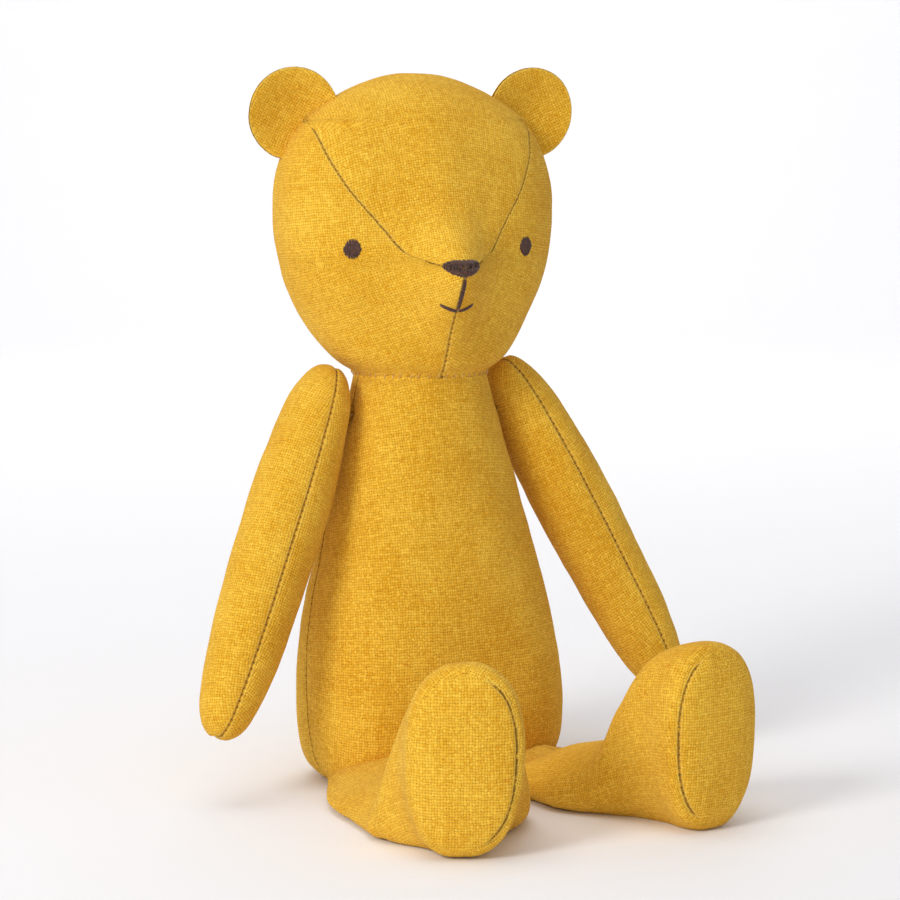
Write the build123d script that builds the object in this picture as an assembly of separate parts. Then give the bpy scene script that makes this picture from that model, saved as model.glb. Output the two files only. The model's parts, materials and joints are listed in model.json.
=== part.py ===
from build123d import *
import math
import os

# A small jointed teddy bear, sewn from linen, in its sitting pose. Millimetres.
# Origin: on the floor under the middle of the seat. +Z up, the bear looks along -Y, its left side is +X.

# Cloth and thread
CLOTH = 0.6  # thickness of the linen
SEAM_GAP = 0.08  # between two panels where they are sewn
STUFFING_GAP = 0.08  # between the cloth and the stuffing
OPENING = 2.0  # how far the inside of head and body is cut past the neck, to leave it open
THREAD_R = 0.3  # sewing thread at the neck and along the seat seam
CORD_R = 0.6  # waxed cord that carries both arms
RUNNING = 0.06  # radial clearance of anything that turns on a thread or cord
RING_POINTS = 24  # points round one cross-section

# Body, which leans back a little towards the neck
NECK_Z = 115.8
NECK_R = 19.0
LEAN = 0.065  # backward drift of the body's middle, per mm of height
NECK_Y = LEAN * NECK_Z
NECK_SPLIT = 0.3  # the neck seam's height, between body and head
SIDE_SEAM_Y = 1.5  # the side seams run this far behind the middle of the body
SEAT_SQUARENESS = 2.8  # the seat is squarer than an ellipse, the neck is round
# height, half width, depth in front and behind of the middle
BODY_PROFILE = [
    (0.0, 27.9, 16.5, 19.0),
    (3.8, 35.2, 22.6, 26.0),
    (12.7, 38.2, 26.4, 27.6),
    (25.3, 38.9, 28.0, 27.6),
    (41.8, 37.7, 27.6, 26.4),
    (58.3, 34.6, 25.9, 24.2),
    (76.0, 30.2, 23.2, 21.8),
    (95.0, 24.9, 20.8, 20.2),
    (109.0, 20.9, 19.2, 19.1),
    (NECK_Z, NECK_R, NECK_R, NECK_R),
]

# Head: height, half width, depth in front and behind, and how far the snout stands out of the front
HEAD_TURN = -8.5  # degrees about the neck, towards the bear's right, at rest
HEAD_SETBACK = 4.4  # how far the head's middle sits behind the neck
SNOUT_HALF_WIDTH = 9.4
HEAD_PROFILE = [
    (NECK_Z + NECK_SPLIT, NECK_R, NECK_R, NECK_R, 0.0),
    (118.6, 23.4, 21.4, 22.2, 1.0),
    (124.0, 28.4, 23.8, 25.8, 3.4),
    (131.0, 33.0, 25.8, 29.4, 7.6),
    (138.4, 36.7, 27.8, 32.6, 11.2),
    (146.2, 39.1, 28.9, 35.0, 13.6),
    (152.6, 40.3, 28.8, 36.0, 9.2),
    (160.9, 41.0, 27.0, 36.2, 4.1),
    (171.0, 40.4, 24.0, 34.6, 2.5),
    (181.2, 37.0, 20.4, 30.2, 2.0),
    (190.0, 29.7, 15.8, 23.2, 1.3),
    (196.4, 18.8, 10.1, 14.4, 0.6),
    (199.7, 9.4, 5.1, 7.1, 0.3),
    (200.7, 3.0, 1.6, 2.3, 0.0),
]
# Forehead gusset seen from the front: half width and height up one side, from the nose to the ear
GUSSET_FRONT = [(6.6, 147.4), (10.8, 149.4), (16.9, 156.8), (24.6, 167.1), (29.9, 177.4), (32.2, 186.2)]
GUSSET_NAPE_HALF = 10.1  # half width of the gusset at the back of the neck

# Ears, in the head's own frame
EAR_R = 14.2
EAR_HALF_THICK = 4.1
EAR_PLACE = (34.6, 2.5, 188.2)
EAR_TILT = 3.0  # degrees, turning each ear's face a little outward

# Features of the face, in the head's own frame
EYE_X = 25.8
EYE_Z = 151.9
EYE_HALF = (2.3, 3.0)
NOSE_Z = 147.6
NOSE_HALF = (5.7, 2.7)
MOUTH_Z = 135.0
MOUTH_HALF = 4.9
MOUTH_RISE = 1.9
PHILTRUM_TOP = 143.4
FLOSS = 0.45  # how far the embroidery floss stands on the cloth
FLOSS_R = 0.42

# Arms, hung on one cord that runs across the body
SHOULDER = (33.6, 6.7, 104.3)  # where the arm's middle meets the cord
ARM_SPREAD = 24.5  # degrees away from the body
ARM_SWING = 13.5  # degrees forward of hanging, at rest
# distance above the cord, half thickness across, half width front to back
ARM_PROFILE = [
    (15.2, 1.5, 1.8),
    (14.2, 4.1, 4.8),
    (10.9, 6.3, 7.6),
    (5.1, 8.4, 9.8),
    (-3.8, 9.9, 11.2),
    (-15.2, 11.0, 11.8),
    (-35.5, 11.5, 11.8),
    (-56.0, 11.0, 11.2),
    (-74.0, 9.9, 10.1),
    (-86.0, 8.0, 8.3),
    (-93.6, 4.6, 4.9),
    (-95.6, 1.5, 1.7),
]
BUTTON_R = 5.3
BUTTON_THICK = 1.4
BUTTON_X = 28.6  # inner face of the button
KNOT_R = 1.6

# Legs, hinged on the seam along the front edge of the seat
HIP = (23.0, -26.4, 5.4)
# degrees outward of each leg at rest, and how much further its foot is turned out
LEG_POSE = {"left": (6.0, 4.0), "right": (4.5, 25.0)}
FOOT_TURN_FROM = 28.0  # the foot's turn starts and ends at these distances from the hip
FOOT_TURN_TO = 60.0
SOLE_AT = 70.4  # where the sole is sewn on, from the hip
SOLE_SQUARENESS = 2.35
EGG = 0.07  # how much wider the toe is than the heel
# distance in front of the hip, half width, lowest and highest point, share of the foot's shape.
# The first row is the flat tab that is sewn to the body; the stuffing starts at the second.
LEG_PROFILE = [
    (-3.2, 9.6, 4.4, 6.4, 0.0),
    (2.4, 10.6, 3.2, 8.0, 0.0),
    (6.4, 11.2, 1.6, 12.8, 0.0),
    (13.9, 11.8, 0.6, 17.4, 0.0),
    (25.3, 12.0, 0.2, 20.0, 0.0),
    (36.0, 12.3, 0.0, 21.8, 0.1),
    (42.0, 12.8, 0.0, 27.0, 0.4),
    (46.0, 13.4, 0.0, 35.0, 0.7),
    (51.0, 14.0, 0.0, 42.4, 1.0),
    (58.0, 14.5, 0.0, 47.8, 1.0),
    (66.0, 14.9, 0.2, 50.4, 1.0),
    (SOLE_AT, 14.9, 0.7, 50.6, 1.0),
    (73.4, 13.4, 2.4, 48.8, 1.0),
    (75.4, 9.6, 7.6, 43.4, 1.0),
    (76.0, 4.6, 14.6, 36.2, 1.0),
]
SEAT_LIP_HALF = 10.6  # half length of the seam allowance between the legs
SEAT_LIP_DEEP = 3.0  # how far the seam allowance reaches back into the body's front
SEAT_THREAD_PAST = 10.0  # how far the seat's thread runs past the middle of each leg
FAR = 250  # larger than the whole bear, for blocks that cut it


def closed_curve(points):
    return Wire([Edge.make_spline([Vector(*p) for p in points], periodic=True)])


def around():
    """Angles round a cross-section, starting at +X."""
    return [2 * math.pi * i / RING_POINTS for i in range(RING_POINTS)]


def squeezed(value, low, high, inset):
    """The value moved inward so that the span from low to high loses inset at both ends."""
    middle = (low + high) / 2
    return middle + (value - middle) * (1 - 2 * inset / (high - low))


def superellipse(angle, squareness):
    """A point on a unit circle, or on a squarer outline when squareness is above 2."""
    c = math.cos(angle)
    s = math.sin(angle)
    reach = (abs(c) ** squareness + abs(s) ** squareness) ** (-1 / squareness)
    return reach * c, reach * s


def body_form(inset, bottom=0.0, top=0.0):
    """The body as a solid, shrunk by inset, with its ends raised by bottom and top."""
    rings = []
    last = len(BODY_PROFILE) - 1
    for i, (z, half, front, back) in enumerate(BODY_PROFILE):
        height = z + (bottom if i == 0 else top if i == last else 0.0)
        squareness = 2 + (SEAT_SQUARENESS - 2) * max(0.0, 1 - z / (0.6 * NECK_Z))
        ring = []
        for t in around():
            depth = back if math.sin(t) > 0 else front
            across, along = superellipse(t, squareness)
            ring.append(((half - inset) * across, LEAN * height + (depth - inset) * along, height))
        rings.append(closed_curve(ring))
    return Solid.make_loft(rings)


def snout(x, stand_out):
    return stand_out * math.exp(-((x / SNOUT_HALF_WIDTH) ** 2))


def head_ring(profile, inset, height):
    _, half, front, back, stand_out = profile
    setback = HEAD_SETBACK * min(1.0, (height - NECK_Z) / 15)
    ring = []
    for t in around():
        x = (half - inset) * math.cos(t)
        if math.sin(t) > 0:
            y = (back - inset) * math.sin(t)
        else:
            y = (front - inset) * math.sin(t) - snout(x, stand_out)
        ring.append((x, NECK_Y + setback + y, height))
    return closed_curve(ring)


def head_form(inset, bottom=0.0):
    """The head as a solid in its own frame, before it is turned, shrunk by inset."""
    rings = []
    last = len(HEAD_PROFILE) - 1
    for i, profile in enumerate(HEAD_PROFILE):
        height = profile[0]
        if i == 0:
            height += bottom
        if i == last:
            height -= inset
        rings.append(head_ring(profile, min(inset, 0.5 * profile[3]), height))
    return Solid.make_loft(rings)


def box_between(low, high):
    size = [h - l for l, h in zip(low, high)]
    middle = [(h + l) / 2 for l, h in zip(low, high)]
    return Pos(*middle) * Box(*size)


def gusset_cutter(shrink):
    """A block that holds the gusset: its seams follow GUSSET_FRONT in front and run straight to the nape."""
    ear_x, ear_z = GUSSET_FRONT[-1]
    side = [(x - shrink, z + (shrink if i == 0 else 0)) for i, (x, z) in enumerate(GUSSET_FRONT)]
    right_seam = [Vector(x, 0, z) for x, z in side]
    left_seam = [Vector(-x, 0, z) for x, z in side]
    crown = ear_x - shrink
    top_right = Vector(crown, 0, FAR)
    top_left = Vector(-crown, 0, FAR)
    front = Wire(
        [
            Edge.make_line(left_seam[0], right_seam[0]),
            Edge.make_spline(right_seam),
            Edge.make_line(right_seam[-1], top_right),
            Edge.make_line(top_right, top_left),
            Edge.make_line(top_left, left_seam[-1]),
            Edge.make_spline(left_seam[::-1]),
        ]
    )
    nape = GUSSET_NAPE_HALF - shrink
    below = NECK_Z - 2 * OPENING
    right_side = [(nape, 0, below), (crown, 0, ear_z), (crown, 0, FAR)]
    left_side = [(-x, y, z) for x, y, z in reversed(right_side)]
    back = Wire.make_polygon(right_side + left_side)
    middle_y = NECK_Y + HEAD_SETBACK
    front_block = Pos(0, middle_y, 0) * extrude(Face(front), amount=FAR, dir=(0, -1, 0))
    back_block = Pos(0, middle_y, 0) * extrude(Face(back), amount=FAR, dir=(0, 1, 0))
    return front_block + back_block


def turned(shape):
    """From the head's own frame to the bear's."""
    return Pos(0, NECK_Y, 0) * Rot(0, 0, HEAD_TURN) * Pos(0, -NECK_Y, 0) * shape


def build_head():
    outer = head_form(0.0)
    shell = outer - head_form(CLOTH, bottom=-OPENING)
    gusset = shell & gusset_cutter(SEAM_GAP / 2)
    sides = shell - gusset_cutter(-SEAM_GAP / 2)
    left_half = box_between((SEAM_GAP / 2, -FAR, 0), (FAR, FAR, 2 * FAR))
    right_half = mirror(left_half, about=Plane.YZ)
    neck_plane = NECK_Z + NECK_SPLIT + STUFFING_GAP
    stuffing = head_form(CLOTH + STUFFING_GAP, bottom=-OPENING)
    stuffing -= box_between((-FAR, -FAR, 0), (FAR, FAR, neck_plane))
    return {
        "head_gusset": gusset,
        "face_left": sides & left_half,
        "face_right": sides & right_half,
        "head_stuffing": stuffing,
    }


def ear_disc(side, inset):
    """A flat egg of cloth for one ear, before the head is cut away."""
    disc = scale(Sphere(1), by=(EAR_R - inset, EAR_HALF_THICK - inset, EAR_R - inset))
    x, y, z = EAR_PLACE
    return Pos(side * x, NECK_Y + HEAD_SETBACK + y, z) * Rot(0, 0, side * EAR_TILT) * disc


def ear_face_block(side, forward):
    """Everything in front of (or behind) the middle of one ear."""
    x, y, z = EAR_PLACE
    depth = 3 * EAR_HALF_THICK
    block = Pos(0, -forward * (depth / 2 + SEAM_GAP / 2), 0) * Box(4 * EAR_R, depth, 4 * EAR_R)
    return Pos(side * x, NECK_Y + HEAD_SETBACK + y, z) * Rot(0, 0, side * EAR_TILT) * block


def build_ears(head_clear):
    parts = {}
    for name, side in (("left", 1), ("right", -1)):
        shell = ear_disc(side, 0.0) - ear_disc(side, CLOTH) - head_clear
        parts[f"ear_{name}_front"] = shell & ear_face_block(side, 1)
        parts[f"ear_{name}_back"] = shell & ear_face_block(side, -1)
        parts[f"ear_{name}_padding"] = ear_disc(side, CLOTH + STUFFING_GAP) - head_clear
    return parts


def front_of_head(x, z):
    """How far forward the face reaches at x and z, in the head's own frame."""
    rows = HEAD_PROFILE
    i = max(k for k in range(len(rows) - 1) if rows[k][0] <= z)
    share = (z - rows[i][0]) / (rows[i + 1][0] - rows[i][0])
    half, front, stand_out = (
        rows[i][k] + share * (rows[i + 1][k] - rows[i][k]) for k in (1, 2, 4)
    )
    setback = HEAD_SETBACK * min(1.0, (z - NECK_Z) / 15)
    return NECK_Y + setback - front * math.sqrt(1 - (x / half) ** 2) - snout(x, stand_out)


def patch(outline, head_clear, head_proud):
    """A thin pad of embroidery: an outline seen from the front, between the cloth and a larger head."""
    pad = extrude(Face(outline), amount=FAR, dir=(0, -1, 0))
    return (pad & head_proud) - head_clear


def oval(x, z, half_x, half_z):
    points = [(x + half_x * math.cos(t), 0, z + half_z * math.sin(t)) for t in around()]
    return closed_curve(points)


def nose_outline():
    """A rounded triangle: wide and nearly straight on top, round underneath."""
    half_x, half_z = NOSE_HALF
    points = []
    for t in around():
        across = math.cos(t)
        up = math.sin(t)
        height = 0.62 * up if up > 0 else 1.38 * up * (1 - 0.35 * across**2)
        points.append((half_x * across, 0, NOSE_Z + 0.3 * half_z + half_z * height))
    return closed_curve(points)


def floss_line(points):
    """One strand of floss laid on the face through points given as x, z."""
    path = [Vector(x, front_of_head(x, z) - FLOSS_R - 0.25, z) for x, z in points]
    spine = Edge.make_spline(path) if len(path) > 2 else Edge.make_line(*path)
    profile = Plane(origin=path[0], z_dir=spine.tangent_at(0)) * Circle(FLOSS_R)
    return sweep(profile, path=Wire([spine]))


def build_face(head_clear):
    head_proud = head_form(-FLOSS)
    lip = [(-MOUTH_HALF, MOUTH_Z + MOUTH_RISE), (0, MOUTH_Z), (MOUTH_HALF, MOUTH_Z + MOUTH_RISE)]
    philtrum = [(0, MOUTH_Z), (0, (MOUTH_Z + PHILTRUM_TOP) / 2), (0, PHILTRUM_TOP)]
    return {
        "eye_left": patch(oval(EYE_X, EYE_Z, *EYE_HALF), head_clear, head_proud),
        "eye_right": patch(oval(-EYE_X, EYE_Z, *EYE_HALF), head_clear, head_proud),
        "nose": patch(nose_outline(), head_clear, head_proud),
        "mouth": (floss_line(lip) + floss_line(philtrum)) - head_clear,
    }


def along_x(radius, start, end, y, z):
    length = end - start
    return Pos((start + end) / 2, y, z) * Rot(0, 90, 0) * Cylinder(radius, length)


def leaning_block(front):
    """Everything in front of (or behind) the side seams, which follow the body's lean."""
    block = Pos(0, SIDE_SEAM_Y - front * (FAR / 2 + SEAM_GAP / 2), 0) * Box(FAR, FAR, 2 * FAR)
    return Rot(-math.degrees(math.atan(LEAN)), 0, 0) * block


def build_body():
    shell = body_form(0.0) - body_form(CLOTH, bottom=CLOTH, top=OPENING)
    cord_hole = along_x(CORD_R + RUNNING, -FAR, FAR, SHOULDER[1], SHOULDER[2])
    thread_hole = along_x(THREAD_R + RUNNING, -FAR, FAR, HIP[1], HIP[2])
    lip_low = (-SEAT_LIP_HALF, HIP[1] - 2 * CLOTH, HIP[2] - 1.2 * CLOTH)
    lip_high = (SEAT_LIP_HALF, HIP[1] + SEAT_LIP_DEEP, HIP[2] + 1.2 * CLOTH)
    lip = box_between(lip_low, lip_high) - body_form(CLOTH / 2, bottom=CLOTH / 2)
    front = (shell & leaning_block(1)) + lip
    inset = CLOTH + STUFFING_GAP
    stuffing = body_form(inset, bottom=inset, top=OPENING)
    stuffing -= box_between((-FAR, -FAR, NECK_Z - STUFFING_GAP), (FAR, FAR, FAR))
    neck_thread = Pos(0, NECK_Y, NECK_Z + NECK_SPLIT / 2) * Torus(NECK_R + 1.5 * THREAD_R, THREAD_R * 0.7)
    cord_end = BUTTON_X + BUTTON_THICK + KNOT_R
    cord = along_x(CORD_R, -cord_end, cord_end, SHOULDER[1], SHOULDER[2])
    thread_end = HIP[0] + SEAT_THREAD_PAST
    for side in (1, -1):
        knot_x = side * (BUTTON_X + BUTTON_THICK + RUNNING + KNOT_R)
        cord += Pos(knot_x, SHOULDER[1], SHOULDER[2]) * Sphere(KNOT_R)
    return {
        "body_front": front - cord_hole - thread_hole,
        "body_back": (shell & leaning_block(-1)) - cord_hole,
        "body_stuffing": stuffing - cord_hole,
        "neck_thread": neck_thread,
        "shoulder_cord": cord,
        "seat_seam_thread": along_x(THREAD_R, -thread_end, thread_end, HIP[1], HIP[2]),
    }


def arm_form(inset):
    """An arm as a solid with the cord's height at the origin, hanging along -Z."""
    rings = []
    top = ARM_PROFILE[0][0]
    bottom = ARM_PROFILE[-1][0]
    for z, across, deep in ARM_PROFILE:
        a = max(across - inset, 0.4 * across)
        b = max(deep - inset, 0.4 * deep)
        height = squeezed(z, bottom, top, inset)
        rings.append(closed_curve([(a * math.cos(t), b * math.sin(t), height) for t in around()]))
    return Solid.make_loft(rings)


def hang(side, shape):
    """From the arm's own frame to the bear's."""
    x, y, z = SHOULDER
    return Pos(side * x, y, z) * Rot(-ARM_SWING, 0, 0) * Rot(0, -side * ARM_SPREAD, 0) * shape


def half_space(side, gap):
    """Everything on one side of the YZ plane."""
    return Pos(side * (FAR / 2 + gap), 0, 0) * Box(FAR, FAR, FAR)


def build_arm(name, side):
    shell = arm_form(0.0) - arm_form(CLOTH)
    outer = hang(side, shell & half_space(side, SEAM_GAP / 2))
    inner = hang(side, shell & half_space(-side, SEAM_GAP / 2))
    stuffing = hang(side, arm_form(CLOTH + STUFFING_GAP))
    _, y, z = SHOULDER
    low, high = BUTTON_X, BUTTON_X + BUTTON_THICK
    start, end = (low, high) if side > 0 else (-high, -low)
    button = along_x(BUTTON_R, start, end, y, z) - along_x(CORD_R + RUNNING, start - 1, end + 1, y, z)
    room = along_x(BUTTON_R + STUFFING_GAP, start - STUFFING_GAP, end + STUFFING_GAP, y, z)
    knot_room = Pos(side * (high + RUNNING + KNOT_R), y, z) * Sphere(KNOT_R + 2 * RUNNING)
    way_in = along_x(CORD_R + RUNNING, min(0, side * high), max(0, side * high), y, z)
    return {
        f"arm_{name}_outer": outer,
        f"arm_{name}_inner": inner - way_in,
        f"arm_{name}_stuffing": stuffing - room - knot_room - way_in,
        f"arm_{name}_button": button,
    }


def leg_spine(distance, pose):
    """Place in plan and heading of the leg's middle line at a distance from the hip, for the left leg."""
    splay, turn = (math.radians(angle) for angle in pose)
    x = y = 0.0
    step = min(0.5, abs(distance)) * (1 if distance > 0 else -1)
    count = round(distance / step) if step else 0
    heading = splay
    for i in range(count):
        share = ((i + 0.5) * step - FOOT_TURN_FROM) / (FOOT_TURN_TO - FOOT_TURN_FROM)
        share = min(1.0, max(0.0, share))
        heading = splay + turn * share * share * (3 - 2 * share)
        x += step * math.sin(heading)
        y -= step * math.cos(heading)
    return x, y, heading


def leg_form(inset, pose):
    """A left leg as a solid with the hip seam at the origin, lying along -Y, its heel down."""
    rows = LEG_PROFILE[1:] if inset > 0 else LEG_PROFILE
    rings = []
    for s, half, low, high, foot in rows:
        tall = (high - low) / 2
        a = max(half - inset, 0.3 * half)
        c = max(tall - inset, 0.25 * tall)
        middle = (high + low) / 2 - HIP[2]
        x0, y0, heading = leg_spine(squeezed(s, rows[0][0], rows[-1][0], inset), pose)
        squareness = 2 + (SOLE_SQUARENESS - 2) * foot
        ring = []
        for t in around():
            across, up = superellipse(t, squareness)
            x = a * across * (1 + EGG * foot * math.sin(t))
            ring.append((x0 + x * math.cos(heading), y0 + x * math.sin(heading), middle + c * up))
        rings.append(closed_curve(ring))
    return Solid.make_loft(rings)


def leg_half(outer, pose):
    """Everything on the outer (or inner) side of the seams along the top and bottom of a left leg."""
    shift = (1 if outer else -1) * SEAM_GAP / 2
    reach = (1 if outer else -1) * 2 * SOLE_AT
    line = []
    beyond = 2 * (SOLE_AT - FOOT_TURN_FROM)
    for s in [-FOOT_TURN_FROM] + [FOOT_TURN_FROM + beyond * i / 14 for i in range(15)]:
        x, y, heading = leg_spine(s, pose)
        line.append((x + shift * math.cos(heading), y + shift * math.sin(heading)))
    corners = line + [(line[-1][0] + reach, line[-1][1]), (line[0][0] + reach, line[0][1])]
    outline = Wire.make_polygon([(x, y, -FAR / 2) for x, y in corners])
    return extrude(Face(outline), amount=FAR, dir=(0, 0, 1))


def sole_side(front, pose):
    """Everything in front of (or behind) the seam round the sole of a left leg."""
    x, y, heading = leg_spine(SOLE_AT, pose)
    block = Pos(0, -front * (FAR / 2 + SEAM_GAP / 2), 0) * Box(FAR, FAR, FAR)
    return Pos(x, y, 0) * Rot(0, 0, math.degrees(heading)) * block


def hip_placed(side, shape):
    """From the left leg's own frame to the bear's."""
    placed = Pos(*HIP) * shape
    return placed if side > 0 else mirror(placed, about=Plane.YZ)


def build_leg(name, side):
    pose = LEG_POSE[name]
    shell = leg_form(0.0, pose) - leg_form(CLOTH, pose)
    upper = shell & sole_side(-1, pose)
    thread_hole = along_x(THREAD_R + RUNNING, -FAR, FAR, HIP[1], HIP[2])
    return {
        f"leg_{name}_outer": hip_placed(side, upper & leg_half(True, pose)) - thread_hole,
        f"leg_{name}_inner": hip_placed(side, upper & leg_half(False, pose)) - thread_hole,
        f"leg_{name}_sole": hip_placed(side, shell & sole_side(1, pose)),
        f"leg_{name}_stuffing": hip_placed(side, leg_form(CLOTH + STUFFING_GAP, pose)) - thread_hole,
    }


def main():
    os.makedirs("parts", exist_ok=True)
    head_clear = head_form(-SEAM_GAP)
    parts = build_body()
    for group in (build_head(), build_ears(head_clear), build_face(head_clear)):
        parts.update({node: turned(shape) for node, shape in group.items()})
    for name, side in (("left", 1), ("right", -1)):
        parts.update(build_arm(name, side))
        parts.update(build_leg(name, side))
    for node, shape in parts.items():
        export_step(shape, f"parts/{node}.step")


main()
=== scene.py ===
import json
import math

import bmesh
import bpy
import numpy as np
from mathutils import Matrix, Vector, noise
from mathutils.bvhtree import BVHTree
from mathutils.interpolate import poly_3d_calc


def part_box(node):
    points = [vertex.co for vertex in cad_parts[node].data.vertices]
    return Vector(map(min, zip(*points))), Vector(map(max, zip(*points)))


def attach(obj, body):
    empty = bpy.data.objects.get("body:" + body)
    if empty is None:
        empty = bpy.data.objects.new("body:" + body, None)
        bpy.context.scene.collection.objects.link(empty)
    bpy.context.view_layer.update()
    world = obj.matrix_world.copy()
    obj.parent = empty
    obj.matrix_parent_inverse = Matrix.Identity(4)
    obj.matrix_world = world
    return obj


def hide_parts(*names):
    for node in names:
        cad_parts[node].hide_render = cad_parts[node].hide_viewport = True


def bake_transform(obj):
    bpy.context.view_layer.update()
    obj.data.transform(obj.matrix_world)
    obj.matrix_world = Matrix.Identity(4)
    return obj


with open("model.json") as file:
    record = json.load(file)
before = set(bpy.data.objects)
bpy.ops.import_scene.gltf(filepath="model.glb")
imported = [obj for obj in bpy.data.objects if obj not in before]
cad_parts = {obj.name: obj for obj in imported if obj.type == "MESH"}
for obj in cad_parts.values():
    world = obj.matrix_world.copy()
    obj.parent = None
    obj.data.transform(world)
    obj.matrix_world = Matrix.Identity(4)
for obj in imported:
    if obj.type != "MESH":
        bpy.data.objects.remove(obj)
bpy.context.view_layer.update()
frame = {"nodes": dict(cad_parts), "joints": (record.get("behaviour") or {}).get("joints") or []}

# Lengths are metres unless a name says otherwise.
MM = 0.001
JOINTS = {joint["name"]: joint for joint in frame["joints"]}
UP = np.array([0.0, 0.0, 1.0])
FAR = 0.2  # longer than any reach inside the bear

# Linen and its seams
THREAD_PITCH = 0.75 * MM
SEAM_DEPTH = 0.5 * MM
LIMB_SEAM_DEPTH = 0.75 * MM
SEAM_WIDTH = 2.0 * MM
STITCH_PITCH = 1.85 * MM
SEAM_FADE = 9.0 * MM  # length over which a seam runs out at its ends
PUCKER_HEIGHT = 0.256 * MM
PUCKER_LENGTH = 3.2 * MM
PUCKER_REACH = 4.5 * MM
LUMP_SIZE = 14 * MM
LINEN_DEEP = (0.73, 0.345, 0.009)
LINEN_PALE = (1.0, 0.64, 0.07)
LINEN_ORANGE = (0.66, 0.22, 0.006)
# painted shade, laid into the pits between threads and along the seam creases
LINEN_PAINTED_SHADE = (0.27, 0.08, 0.001)
# pale nap fibres, and also the painted highlight on the ridge beside the seams
LINEN_NAP_AND_HIGHLIGHT = (1.0, 0.70, 0.14)
# stitch holes along the seams: real holes, their darkness painted shade
SEAM_DARK = (0.16, 0.065, 0.010)

# Threads
FLOSS_DARK = (0.028, 0.010, 0.008)
FLOSS_LIGHT = (0.115, 0.048, 0.034)
THREAD_DARK = (0.55, 0.30, 0.06)
THREAD_LIGHT = (0.85, 0.58, 0.22)
CORD_DARK = (0.30, 0.15, 0.03)
CORD_LIGHT = (0.48, 0.27, 0.06)

# Neck
NECK_MEET = 0.15 * MM  # height above the neck joint at which head and body meet
NECK_RADIUS = 19.0 * MM
NECK_LAP = 0.7 * MM  # head and body press into each other by this much on both sides of the neck seam

# Legs and soles
LEG_SPREAD_OUT = 20.0 * MM  # how far a leg's cloth spreads on the floor, outwards
LEG_SPREAD_IN = 16.0 * MM  # and towards the other leg
LEG_SINK = 0.30  # share of its height that a leg loses beside the body
SOLE_FLATNESS = 2.5
SOLE_ROUNDNESS = 0.42
SOLE_SHARE = 0.89  # size of the sole compared with the foot's widest section

# Ears
EAR_RADIUS = 13.2 * MM
EAR_HALF_THICKNESS = 3.9 * MM
EAR_CUP = 4.4 * MM
EAR_LEAN = 0.14  # how far the top of an ear leans forward, per height

# Head
GUSSET_START = 2.4 * MM  # height above the nose over which the gusset opens out
EYE_TURN = 38  # degrees from straight ahead to each eye
NECK_STITCHES = 46

# Camera
CAMERA_AZIMUTH = 28.1  # degrees round from straight ahead, towards the bear's right
CAMERA_LIFT = 6.5  # degrees above level
CAMERA_DISTANCE = 0.85
CAMERA_LENS = 119.0  # millimetres on a 36 mm frame
CAMERA_AIM = (4.6 * MM, -2.4 * MM, 93.7 * MM)
FLOOR_LIGHT = (0.94, 0.94, 0.955)
FLOOR_LIGHTER = (0.95, 0.95, 0.965)


# ---- reading the frame

def unit(v):
    v = np.asarray(v, float)
    return v / np.linalg.norm(v)


def read_points(obj):
    flat = np.empty(len(obj.data.vertices) * 3)
    obj.data.vertices.foreach_get("co", flat)
    return flat.reshape(-1, 3)


def node_points(*names):
    return np.concatenate([read_points(frame["nodes"][name]) for name in names])


def middle_of(points):
    return (points.max(axis=0) + points.min(axis=0)) / 2


def node_middle(name):
    return middle_of(np.array(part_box(name)))


def joint_place(name):
    return np.array(JOINTS[name]["pos_m"], float)


class Surface:
    """The outer surface of some CAD nodes, read by rays that come in from outside."""

    def __init__(self, *names):
        verts = []
        polys = []
        self.owner = []
        for name in names:
            mesh = frame["nodes"][name].data
            start = len(verts)
            verts.extend(v.co.copy() for v in mesh.vertices)
            polys.extend([start + i for i in p.vertices] for p in mesh.polygons)
            self.owner.extend([name] * len(mesh.polygons))
        self.tree = BVHTree.FromPolygons(verts, polys)

    def reach(self, origin, direction, sideways):
        """Distance from origin to the outermost surface. Three close rays bridge gaps between panels."""
        best = 0.0
        for step in (0.0, 0.2 * MM, -0.2 * MM):
            start = origin + FAR * direction + step * sideways
            hit = self.tree.ray_cast(Vector(start), Vector(-direction), FAR)
            if hit[0] is not None:
                best = max(best, FAR - hit[3])
        return best

    def node_at(self, origin, direction):
        """Name of the node that lies outermost in this direction."""
        hit = self.tree.ray_cast(Vector(origin + FAR * direction), Vector(-direction), FAR)
        return self.owner[hit[2]] if hit[0] is not None else None


# ---- panels of cloth

def spaced(count):
    """Positions from 0 to 1, close together near both ends, where the cloth turns into a seam."""
    return (1 - np.cos(np.linspace(0, math.pi, count))) / 2


def smooth_step(x):
    x = np.clip(x, 0.0, 1.0)
    return x * x * (3 - 2 * x)


def relaxed(points, passes=2):
    """Evens out sampling noise inside a panel and leaves its border alone."""
    points = points.copy()
    for _ in range(passes):
        middle = points[1:-1, 1:-1]
        around = points[:-2, 1:-1] + points[2:, 1:-1] + points[1:-1, :-2] + points[1:-1, 2:]
        points[1:-1, 1:-1] = middle + 0.5 * (around / 4 - middle)
    return points


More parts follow.
